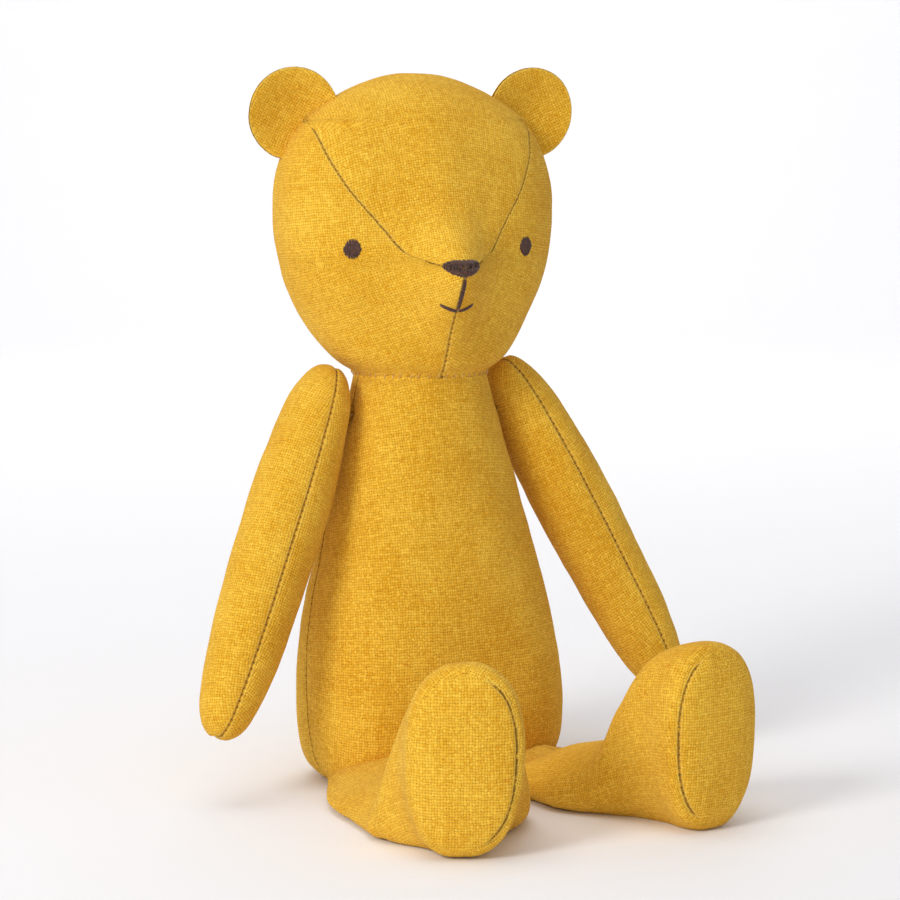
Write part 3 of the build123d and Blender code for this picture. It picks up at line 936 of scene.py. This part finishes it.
def arched(place, normal, share, height, dip, roundness=1.0):
    """Where a stitch runs at a share of its length: it arches over the cloth and dips in at its ends."""
    return place + normal * (height * math.sin(math.pi * share) ** roundness - dip)


class Skin:
    """Finds places on a finished skin, so that threads lie on it."""

    def __init__(self, obj):
        faces = [p.vertices for p in obj.data.polygons]
        self.tree = BVHTree.FromPolygons([v.co for v in obj.data.vertices], faces)

    def facing(self, spot, ahead):
        """The skin's outermost point behind or in front of spot along ahead, with its normal."""
        hit = self.tree.ray_cast(Vector(spot + 0.06 * ahead), Vector(-ahead), 0.15)
        if hit[0] is None:
            return self.nearest(spot)
        return np.array(hit[0]), np.array(hit[1])

    def nearest(self, spot):
        place, normal, _, _ = self.tree.find_nearest(Vector(spot))
        return np.array(place), np.array(normal)


def satin(skin, ahead, side, centre, outline, seed, gap, lift, tilt=0.0):
    """Parallel stitches that fill an outline; outline(x) gives its lower and upper edge at x across."""
    rng = np.random.default_rng(seed)
    paths = []
    points = 9
    half = outline.half
    for x in np.arange(-half + 0.3 * gap, half, gap):
        low, high = outline(x)
        low += rng.uniform(-1, 1) * 0.18 * MM
        high += rng.uniform(-1, 1) * 0.18 * MM
        wander = rng.uniform(-1, 1) * 0.06 * MM
        height = lift * (0.45 + 0.55 * math.sqrt(max(0.0, 1 - (x / half) ** 2)))
        path = []
        for k in range(points):
            share = k / (points - 1)
            y = low + (high - low) * share
            spot = centre + (x + wander + tilt * y) * side + y * UP
            place, normal = skin.facing(spot, ahead)
            path.append(arched(place, normal, share, height, 0.15 * MM, 0.45))
        paths.append(path)
    return paths


class Oval:
    def __init__(self, half, rise):
        self.half = half
        self.rise = rise

    def __call__(self, x):
        reach = self.rise * math.sqrt(max(0.0, 1 - (x / self.half) ** 2))
        return -reach, reach


class HalfMoon:
    """Nearly straight on top, round underneath, with soft corners."""

    def __init__(self, half, drop, rise):
        self.half = half
        self.drop = drop
        self.rise = rise

    def __call__(self, x):
        share = min(1.0, abs(x) / self.half)
        low = -self.drop * (1 - share**2.0) ** 0.75
        high = self.rise * (1 - 0.35 * share**2) * (1 - share**14)
        return low, max(high, low + 0.8 * MM)


def face_embroidery(head_obj):
    head = HeadFrame()
    skin = Skin(head_obj)
    for name, turn in (("left", EYE_TURN), ("right", -EYE_TURN)):
        low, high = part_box(f"eye_{name}")
        rise = (high[2] - low[2]) / 2
        toward = unit(head.look(math.radians(turn)))
        side = unit(np.cross(UP, toward))
        oval = Oval(0.80 * rise, rise)
        seed = 20 + len(name)
        centre = node_middle(f"eye_{name}")
        paths = satin(skin, toward, side, centre, oval, seed, tilt=0.06, gap=0.42 * MM, lift=0.42 * MM)
        eye = strands(f"eye_{name}_satin", paths, 0.27 * MM, "head", FLOSS)
        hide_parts(f"eye_{name}")
    low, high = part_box("nose")
    centre = node_middle("nose")
    half = (high[2] - low[2]) / 2
    moon = HalfMoon(5.3 * MM, half * 1.05, half * 0.75)
    paths = satin(skin, head.ahead, head.side, centre, moon, 31, gap=0.34 * MM, lift=0.85 * MM)
    nose = strands("nose_satin", paths, 0.34 * MM, "head", FLOSS)
    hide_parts("nose")
    paths = mouth_paths(skin, head, centre, half)
    mouth = strands("mouth_stitches", paths, 0.30 * MM, "head", FLOSS)
    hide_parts("mouth")


def mouth_paths(skin, head, nose, nose_half):
    """Two strands for the line under the nose and four for the smile."""
    low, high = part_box("mouth")
    bottom = low[2] + 0.4 * MM
    top = nose[2] - nose_half
    corner = (high[0] - low[0]) / 2
    rise = 1.9 * MM
    paths = []

    def lay(points):
        path = []
        count = len(points)
        for k, (x, z) in enumerate(points):
            spot = np.array([nose[0], nose[1], 0.0]) + x * head.side + z * UP
            place, normal = skin.facing(spot, head.ahead)
            path.append(arched(place, normal, k / (count - 1), 0.30 * MM, 0.12 * MM, 0.4))
        paths.append(path)

    for offset in (-0.22, 0.20):
        lay([(offset * MM, top + (bottom - top) * s) for s in np.linspace(0, 1, 10)])
    for side in (1, -1):
        for offset in (-0.16, 0.18):
            smile = [(side * corner * s, bottom + rise * s**1.5) for s in np.linspace(0.0, 1, 8)]
            lay([(x, z + offset * MM) for x, z in smile])
    return paths


def neck_stitches(head_obj, torso_obj):
    """Hand stitches that close the neck, slanting from the body up into the head."""
    neck = joint_place("head_turn")
    head = Skin(head_obj)
    torso = Skin(torso_obj)
    rng = np.random.default_rng(5)
    paths = []
    for i in range(NECK_STITCHES):
        angle = 2 * math.pi * (i + rng.uniform(-0.15, 0.15)) / NECK_STITCHES
        out = np.array([math.cos(angle), math.sin(angle), 0.0])
        turn = np.array([-math.sin(angle), math.cos(angle), 0.0])
        base = neck + (NECK_RADIUS + 0.4 * MM) * out
        low, low_normal = torso.nearest(base - 0.8 * MM * UP - 0.35 * MM * turn)
        high, high_normal = head.nearest(base + 0.9 * MM * UP + 0.35 * MM * turn)
        normal = unit(low_normal + high_normal)
        path = []
        for share in np.linspace(0, 1, 7):
            path.append(arched(low + (high - low) * share, normal, share, 0.22 * MM, 0.08 * MM))
        paths.append(path)
    ring = strands("neck_stitches", paths, 0.13 * MM, "torso", THREAD, sides=6)
    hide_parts("neck_thread")


def seat_stitches(torso_obj):
    """Small stitches in the seam at the front of the seat, between the legs."""
    hip = joint_place("leg_left_fold")
    torso = Skin(torso_obj)
    paths = []
    for x in np.arange(-9.5, 9.6, STITCH_PITCH / MM) * MM:
        path = []
        for share in np.linspace(0, 1, 6):
            spot = np.array([x + 0.55 * STITCH_PITCH * (share - 0.5), -0.06, hip[2]])
            place, normal = torso.facing(spot, np.array([0.0, -1.0, 0.0]))
            path.append(arched(place, normal, share, 0.2 * MM, 0.05 * MM))
        paths.append(path)
    row = strands("seat_stitches", paths, 0.15 * MM, "torso", THREAD, sides=6)
    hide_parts("seat_seam_thread")


# ---- materials

class Wire:
    """A value in a material's node tree that can be used in ordinary arithmetic."""

    def __init__(self, graph, socket):
        self.graph = graph
        self.socket = socket

    def __add__(self, other):
        return self.graph.math("ADD", self, other)

    def __sub__(self, other):
        return self.graph.math("SUBTRACT", self, other)

    def __rsub__(self, other):
        return self.graph.math("SUBTRACT", other, self)

    def __mul__(self, other):
        return self.graph.math("MULTIPLY", self, other)

    def __truediv__(self, other):
        return self.graph.math("DIVIDE", self, other)

    __radd__ = __add__
    __rmul__ = __mul__


class Graph:
    """Builds one material with the principled shader."""

    def __init__(self, name):
        self.material = bpy.data.materials.new(name)
        self.material.use_nodes = True
        self.tree = self.material.node_tree
        self.shader = self.tree.nodes["Principled BSDF"]

    def node(self, kind, **settings):
        node = self.tree.nodes.new(kind)
        for key, value in settings.items():
            setattr(node, key, value)
        return node

    def feed(self, socket, value):
        if isinstance(value, Wire):
            self.tree.links.new(value.socket, socket)
        else:
            socket.default_value = value

    def math(self, operation, *values):
        node = self.node("ShaderNodeMath", operation=operation)
        for socket, value in zip(node.inputs, values):
            self.feed(socket, value)
        return Wire(self, node.outputs[0])

    def attribute(self, name, output):
        return Wire(self, self.node("ShaderNodeAttribute", attribute_name=name).outputs[output])

    def vector(self, x, y, z):
        node = self.node("ShaderNodeCombineXYZ")
        for socket, value in zip(node.inputs, (x, y, z)):
            self.feed(socket, value)
        return Wire(self, node.outputs[0])

    def split(self, vector):
        node = self.node("ShaderNodeSeparateXYZ")
        self.feed(node.inputs[0], vector)
        return [Wire(self, output) for output in node.outputs]

    def noise(self, vector, scale, detail=2.0, roughness=0.5):
        node = self.node("ShaderNodeTexNoise")
        self.feed(node.inputs["Vector"], vector)
        node.inputs["Scale"].default_value = scale
        node.inputs["Detail"].default_value = detail
        node.inputs["Roughness"].default_value = roughness
        return Wire(self, node.outputs["Fac"])

    def white(self, vector):
        node = self.node("ShaderNodeTexWhiteNoise", noise_dimensions="3D")
        self.feed(node.inputs["Vector"], vector)
        return Wire(self, node.outputs["Value"])

    def ramp(self, value, low, high, start=0.0, end=1.0):
        """The value mapped from low..high to start..end, smoothly and clamped."""
        node = self.node("ShaderNodeMapRange", interpolation_type="SMOOTHSTEP")
        for socket, item in zip(node.inputs, (value, low, high, start, end)):
            self.feed(socket, item)
        return Wire(self, node.outputs[0])

    def blend(self, share, a, b, mode="MIX"):
        node = self.node("ShaderNodeMix", data_type="RGBA", blend_type=mode)
        self.feed(node.inputs["Factor"], share)
        for socket, item in ((node.inputs["A"], a), (node.inputs["B"], b)):
            self.feed(socket, item if isinstance(item, Wire) else (*item, 1.0))
        return Wire(self, node.outputs["Result"])

    def place(self):
        return Wire(self, self.node("ShaderNodeTexCoord").outputs["Object"])

    def bump(self, height, distance, strength=1.0, under=None):
        node = self.node("ShaderNodeBump")
        self.feed(node.inputs["Height"], height)
        node.inputs["Distance"].default_value = distance
        node.inputs["Strength"].default_value = strength
        if under is not None:
            self.feed(node.inputs["Normal"], under)
        return Wire(self, node.outputs[0])

    def finish(self, colour, roughness, normal, sheen=0.0, sheen_tint=(1.0, 1.0, 1.0), specular=0.25):
        self.feed(self.shader.inputs["Base Color"], colour)
        self.feed(self.shader.inputs["Roughness"], roughness)
        self.feed(self.shader.inputs["Normal"], normal)
        self.shader.inputs["Specular IOR Level"].default_value = specular
        self.shader.inputs["Sheen Weight"].default_value = sheen
        self.shader.inputs["Sheen Roughness"].default_value = 0.55
        self.shader.inputs["Sheen Tint"].default_value = (*sheen_tint, 1.0)
        return self.material


def linen_material():
    """Plain-woven golden linen with slubs, specks and nap, painted shade in the pits between threads and
    along the seam creases, a painted highlight on the ridge beside each seam, and stitch holes darkened
    with painted shade.
    """
    g = Graph("golden_linen")
    u, v, panel = g.split(g.attribute("cloth", "Vector"))
    cloth = g.vector(u, v, panel)
    sway = g.noise(cloth, 90.0) - 0.5
    drift = g.noise(g.vector(v, u, panel + 3.0), 90.0) - 0.5
    uneven = g.noise(cloth, 520.0) - 0.5
    ragged = g.noise(g.vector(v, u, panel + 7.0), 520.0) - 0.5
    across = u / THREAD_PITCH + sway * 1.2 + uneven * 1.3
    along = v / THREAD_PITCH + drift * 1.2 + ragged * 1.3
    warp = g.math("FLOOR", across)
    weft = g.math("FLOOR", along)
    crossing = g.white(g.vector(warp, weft, panel))

    def thread(number, position, run, other, body):
        """Height of one set of threads, and how pale each stretch of thread is."""
        slub = g.noise(g.vector(number * 3.7, run * 0.16, panel), 1.0)
        width = body + slub * 0.36
        edge = (position - number - 0.5) * 2.0 / width
        round_top = 1.0 - edge * edge
        weave = g.math("COSINE", (run - 0.5 + number + other) * math.pi)
        tone = g.white(g.vector(number, panel, other)) * 0.14 + slub * 0.30
        return round_top * 0.55 + weave * 0.45, tone

    warp_height, warp_tone = thread(warp, across, along, 0.0, 0.80)
    weft_height, weft_tone = thread(weft, along, across, 1.0, 0.66)
    height = g.math("MAXIMUM", g.math("MAXIMUM", warp_height, weft_height), -0.6)
    on_top = g.ramp(warp_height - weft_height, -0.1, 0.1)
    tone = weft_tone + (warp_tone - weft_tone) * on_top + crossing * 0.26
    fibre = g.noise(cloth, 5200.0, 3.0, 0.7)
    fluff = g.noise(cloth, 1500.0, 3.0, 0.65)
    cloudy = g.noise(cloth, 55.0, 3.0)
    shade = g.ramp(tone + (fibre - 0.5) * 0.7 + (cloudy - 0.5) * 0.5, 0.0, 0.75)
    colour = g.blend(shade, LINEN_DEEP, LINEN_PALE)
    speck = g.ramp(g.noise(cloth, 330.0, 2.0), 0.66, 0.74, 0.0, 0.40)
    colour = g.blend(speck, colour, LINEN_ORANGE)
    # painted shade: the low pits between the threads are darkened where shade falls in them
    pit = g.noise(cloth, 800.0, 2.0)
    pit_shade = g.ramp(height + pit * 0.7, 0.0, 1.15, 0.9, 0.0)
    colour = g.blend(pit_shade, colour, LINEN_PAINTED_SHADE)
    nap = g.ramp(fluff, 0.52, 0.74, 0.0, 0.30)
    colour = g.blend(nap, colour, LINEN_NAP_AND_HIGHLIGHT)

    distance = g.attribute("seam", "Fac")
    run = g.attribute("run", "Fac")
    beat = g.math("FRACT", run / STITCH_PITCH) - 0.5
    to_hole = beat * beat * (STITCH_PITCH / (0.30 * MM)) ** 2
    to_hole = to_hole + g.math("POWER", distance / (0.34 * MM), 2.0)
    hole = g.math("EXPONENT", to_hole * -1.0)
    # painted shade: the cloth darkens towards the seam line, where it dips into the seam's crease
    crease_shade = g.math("EXPONENT", g.math("POWER", distance / (0.26 * MM), 2.0) * -1.0)
    # painted highlight: a paler band on the raised ridge just beside each seam
    rim = g.math("EXPONENT", g.math("POWER", (distance - 0.62 * MM) / (0.30 * MM), 2.0) * -1.0)
    colour = g.blend(rim * 0.30, colour, LINEN_NAP_AND_HIGHLIGHT)
    colour = g.blend(crease_shade * 0.42, colour, LINEN_PAINTED_SHADE)
    # stitch holes along each seam, painted dark as the shade inside them
    colour = g.blend(hole * 0.80, colour, SEAM_DARK)

    normal = g.bump(height + (fibre - 0.5) * 0.5 + (fluff - 0.5) * 0.9, 0.20 * MM, 0.95)
    normal = g.bump(rim - crease_shade * 1.2 - hole * 1.3, 0.16 * MM, 0.9, normal)
    return g.finish(colour, 0.92, normal, sheen=0.20, sheen_tint=(1.0, 0.78, 0.34), specular=0.08)


def thread_material(name, dark, light, roughness, twist, sheen):
    """Twisted thread: two tones in fine slanting streaks."""
    g = Graph(name)
    place = g.place()
    streaks = g.noise(place, 2600.0, 3.0, 0.6)
    plies = g.noise(place, 900.0, 1.0)
    colour = g.blend(g.ramp(streaks * 0.6 + plies * 0.5, 0.35, 0.75), dark, light)
    normal = g.bump(streaks + plies, twist)
    return g.finish(colour, roughness, normal, sheen=sheen, sheen_tint=(1.0, 0.9, 0.8))


def button_material():
    """Moulded plastic, faintly mottled."""
    g = Graph("moulded_plastic")
    place = g.place()
    mottle = g.noise(place, 300.0, 4.0)
    colour = g.blend(mottle, (0.70, 0.66, 0.58), (0.82, 0.79, 0.72))
    return g.finish(colour, g.ramp(mottle, 0.3, 0.7, 0.35, 0.5), g.bump(mottle, 0.05 * MM), specular=0.5)


LINEN = linen_material()
FLOSS = thread_material("brown_floss", FLOSS_DARK, FLOSS_LIGHT, 0.55, 0.05 * MM, 0.25)
THREAD = thread_material("golden_thread", THREAD_DARK, THREAD_LIGHT, 0.8, 0.04 * MM, 0.2)
CORD = thread_material("waxed_cord", CORD_DARK, CORD_LIGHT, 0.6, 0.08 * MM, 0.0)
BUTTON = button_material()


# ---- floor, light and camera

def floor():
    """A pale sheet that lies flat under the bear and curves up behind it."""
    turn = math.radians(CAMERA_AZIMUTH)
    ahead = Vector((math.sin(turn), math.cos(turn), 0.0))
    across = Vector((math.cos(turn), -math.sin(turn), 0.0))
    radius = 0.8
    flat = 1.6
    profile = [(-3.0, 0.0), (flat, 0.0)]
    for bend in np.linspace(0.1, math.pi / 2, 12):
        profile.append((flat + radius * math.sin(bend), radius * (1 - math.cos(bend))))
    profile.append((flat + radius, 4.0))
    half = 4.0
    verts = []
    for away, up in profile:
        verts.extend(ahead * away + across * x + Vector((0, 0, up)) for x in (-half, half))
    faces = [(2 * i, 2 * i + 1, 2 * i + 3, 2 * i + 2) for i in range(len(profile) - 1)]
    mesh = bpy.data.meshes.new("floor")
    mesh.from_pydata(verts, [], faces)
    smooth(mesh)
    g = Graph("pale_floor")
    grain = g.noise(g.place(), 40.0, 3.0)
    colour = g.blend(grain, FLOOR_LIGHT, FLOOR_LIGHTER)
    mesh.materials.append(g.finish(colour, 0.7, g.bump(grain, 0.02 * MM), specular=0.1))
    placed("floor", mesh)


def lamp(name, place, target, size, power, tint=(1.0, 1.0, 1.0)):
    light = bpy.data.lights.new(name, "AREA")
    light.shape = "DISK"
    light.size = size
    light.energy = power
    light.color = tint
    obj = placed(name, light)
    obj.location = place
    obj.rotation_euler = (Vector(target) - Vector(place)).to_track_quat("-Z", "Y").to_euler()


def from_camera(right, up, toward):
    """A place given along the camera's right, upwards and towards the camera."""
    turn = math.radians(CAMERA_AZIMUTH)
    x = math.cos(turn) * right - math.sin(turn) * toward
    y = -math.sin(turn) * right - math.cos(turn) * toward
    return (x, y, up)


def lights():
    aim = (0.0, 0.0, 0.1)
    lamp("key", from_camera(-0.85, 0.75, 1.05), aim, 0.55, 10.6, (1.0, 0.985, 0.96))
    lamp("front", from_camera(-0.1, 0.35, 1.6), aim, 0.9, 2.8)
    lamp("top", from_camera(-0.2, 1.4, 0.1), aim, 1.0, 4.5)
    lamp("backdrop", from_camera(0.0, 1.6, -1.0), from_camera(0.0, 0.5, -2.4), 1.5, 16.0)
    world = bpy.data.worlds.new("studio")
    world.use_nodes = True
    background = world.node_tree.nodes["Background"]
    background.inputs["Color"].default_value = (0.985, 0.98, 1.0, 1.0)
    background.inputs["Strength"].default_value = 0.45
    bpy.context.scene.world = world
    bpy.context.scene.view_settings.view_transform = "Standard"


def camera():
    data = bpy.data.cameras.new("camera")
    data.lens = CAMERA_LENS
    data.sensor_width = 36.0
    obj = placed("camera", data)
    lift = math.radians(CAMERA_LIFT)
    turn = math.radians(CAMERA_AZIMUTH)
    away = Vector((-math.sin(turn) * math.cos(lift), -math.cos(turn) * math.cos(lift), math.sin(lift)))
    obj.location = Vector(CAMERA_AIM) + away * CAMERA_DISTANCE
    obj.rotation_euler = (-away).to_track_quat("-Z", "Y").to_euler()
    bpy.context.scene.camera = obj


# ---- the bear

def coloured(node, material):
    materials = frame["nodes"][node].data.materials
    materials.clear()
    materials.append(material)


def main():
    torso = torso_skin()
    head = head_skin()
    for seed, name in enumerate(("left", "right")):
        ear_skin(name, 40 + seed)
        arm_skin(f"arm_{name}", 50 + seed)
        leg_skin(f"leg_{name}", 60 + seed)
        coloured(f"arm_{name}_button", BUTTON)
    coloured("shoulder_cord", CORD)
    face_embroidery(head)
    neck_stitches(head, torso)
    seat_stitches(torso)
    floor()
    lights()
    camera()


main()
